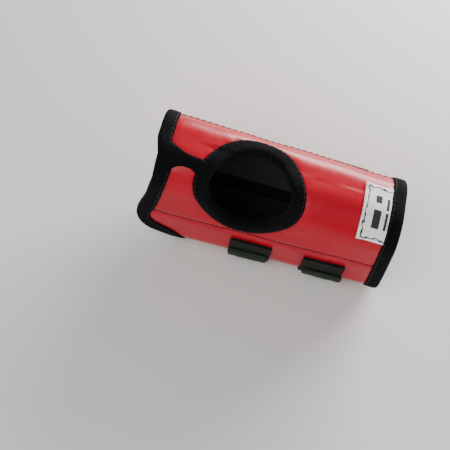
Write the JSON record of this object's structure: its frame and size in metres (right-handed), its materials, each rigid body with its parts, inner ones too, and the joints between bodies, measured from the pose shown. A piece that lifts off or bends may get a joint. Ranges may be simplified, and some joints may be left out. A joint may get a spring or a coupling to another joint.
{
  "type": "wrist splint",
  "caption": "Padded red wrist and hand splint for the right hand, weighted, with a bound thumb hole, a back flap on a seam hinge and hook-and-loop straps.",
  "frame": {"origin": "centre of the footprint of the splint's box, on the plane that its straps stand on", "axes": "+X towards the forearm and -X towards the fingers; -Y is the palm side and +Y the back of the hand; +Z towards the thumb side, so the splint stands on its little-finger side"},
  "size_m": [0.1659, 0.0608, 0.0885],
  "materials": {
    "red_vinyl": "satin vinyl-coated cloth",
    "foam": "closed-cell foam sheet",
    "lining": "brushed black nylon",
    "binding": "ribbed fold-over tape",
    "strap": "woven nylon tape",
    "loop": "brushed loop tape",
    "hook": "moulded hook tape",
    "stay_metal": "mill finish flat bar",
    "dip": "dipped vinyl ends",
    "weight_steel": "steel shot in a pouch",
    "label_cloth": "printed satin cloth"
  },
  "bodies": {
    "sleeve": {"palm_cover": "red_vinyl", "palm_foam": "foam", "palm_lining": "lining", "thumb_cover": "red_vinyl", "thumb_foam": "foam", "thumb_lining": "lining", "finger_binding": "binding", "forearm_binding": "binding", "slit_binding": "binding", "thumb_binding": "binding", "web_binding": "binding", "label": "label_cloth", "stay_pocket": "lining", "strap_1_base": "strap", "strap_1_patch": "loop", "strap_2_base": "strap", "strap_2_patch": "loop"},
    "back_flap": {"back_cover": "red_vinyl", "back_foam": "foam", "back_lining": "lining", "weight_1": "weight_steel", "weight_2": "weight_steel", "weight_3": "weight_steel", "weight_4": "weight_steel", "back_flap_binding": "binding", "loop_pad_1": "loop", "loop_pad_2": "loop"},
    "strap_1_end": {"strap_1_end": "strap", "strap_1_hook": "hook"},
    "strap_1_tip": {"strap_1_tip": "strap"},
    "strap_2_end": {"strap_2_end": "strap", "strap_2_hook": "hook"},
    "strap_2_tip": {"strap_2_tip": "strap"},
    "stay": {"stay": "stay_metal", "stay_cap_finger": "dip", "stay_cap_forearm": "dip"}
  },
  "joints": [
    {"name": "back_flap_open", "type": "hinge", "parent": "sleeve", "child": "back_flap", "pos_m": [0, 0.02426, 0.07224], "axis": [0.9972, 0, -0.0748], "range_deg": [0, 22]},
    {"name": "strap_1_lift", "type": "hinge", "parent": "sleeve", "child": "strap_1_end", "pos_m": [-0.0057, 0.02554, 0.00318], "axis": [-1, 0, 0], "range_deg": [0, 77]},
    {"name": "strap_1_peel", "type": "hinge", "parent": "strap_1_end", "child": "strap_1_tip", "pos_m": [-0.0057, 0.0304, 0.0503], "axis": [-1, 0, 0], "range_deg": [0, 50]},
    {"name": "strap_2_lift", "type": "hinge", "parent": "sleeve", "child": "strap_2_end", "pos_m": [0.0447, 0.02554, 0.00318], "axis": [-1, 0, 0], "range_deg": [0, 77]},
    {"name": "strap_2_peel", "type": "hinge", "parent": "strap_2_end", "child": "strap_2_tip", "pos_m": [0.0447, 0.0304, 0.0503], "axis": [-1, 0, 0], "range_deg": [0, 50]},
    {"name": "stay_slide", "type": "slide", "parent": "sleeve", "child": "stay", "axis": [1, 0, 0], "range_m": [0, 0.12]}
  ],
  "couplings": [
    {"joint": "strap_1_lift", "follows": "back_flap_open", "ratio": 3.5},
    {"joint": "strap_2_lift", "follows": "back_flap_open", "ratio": 3.5}
  ]
}
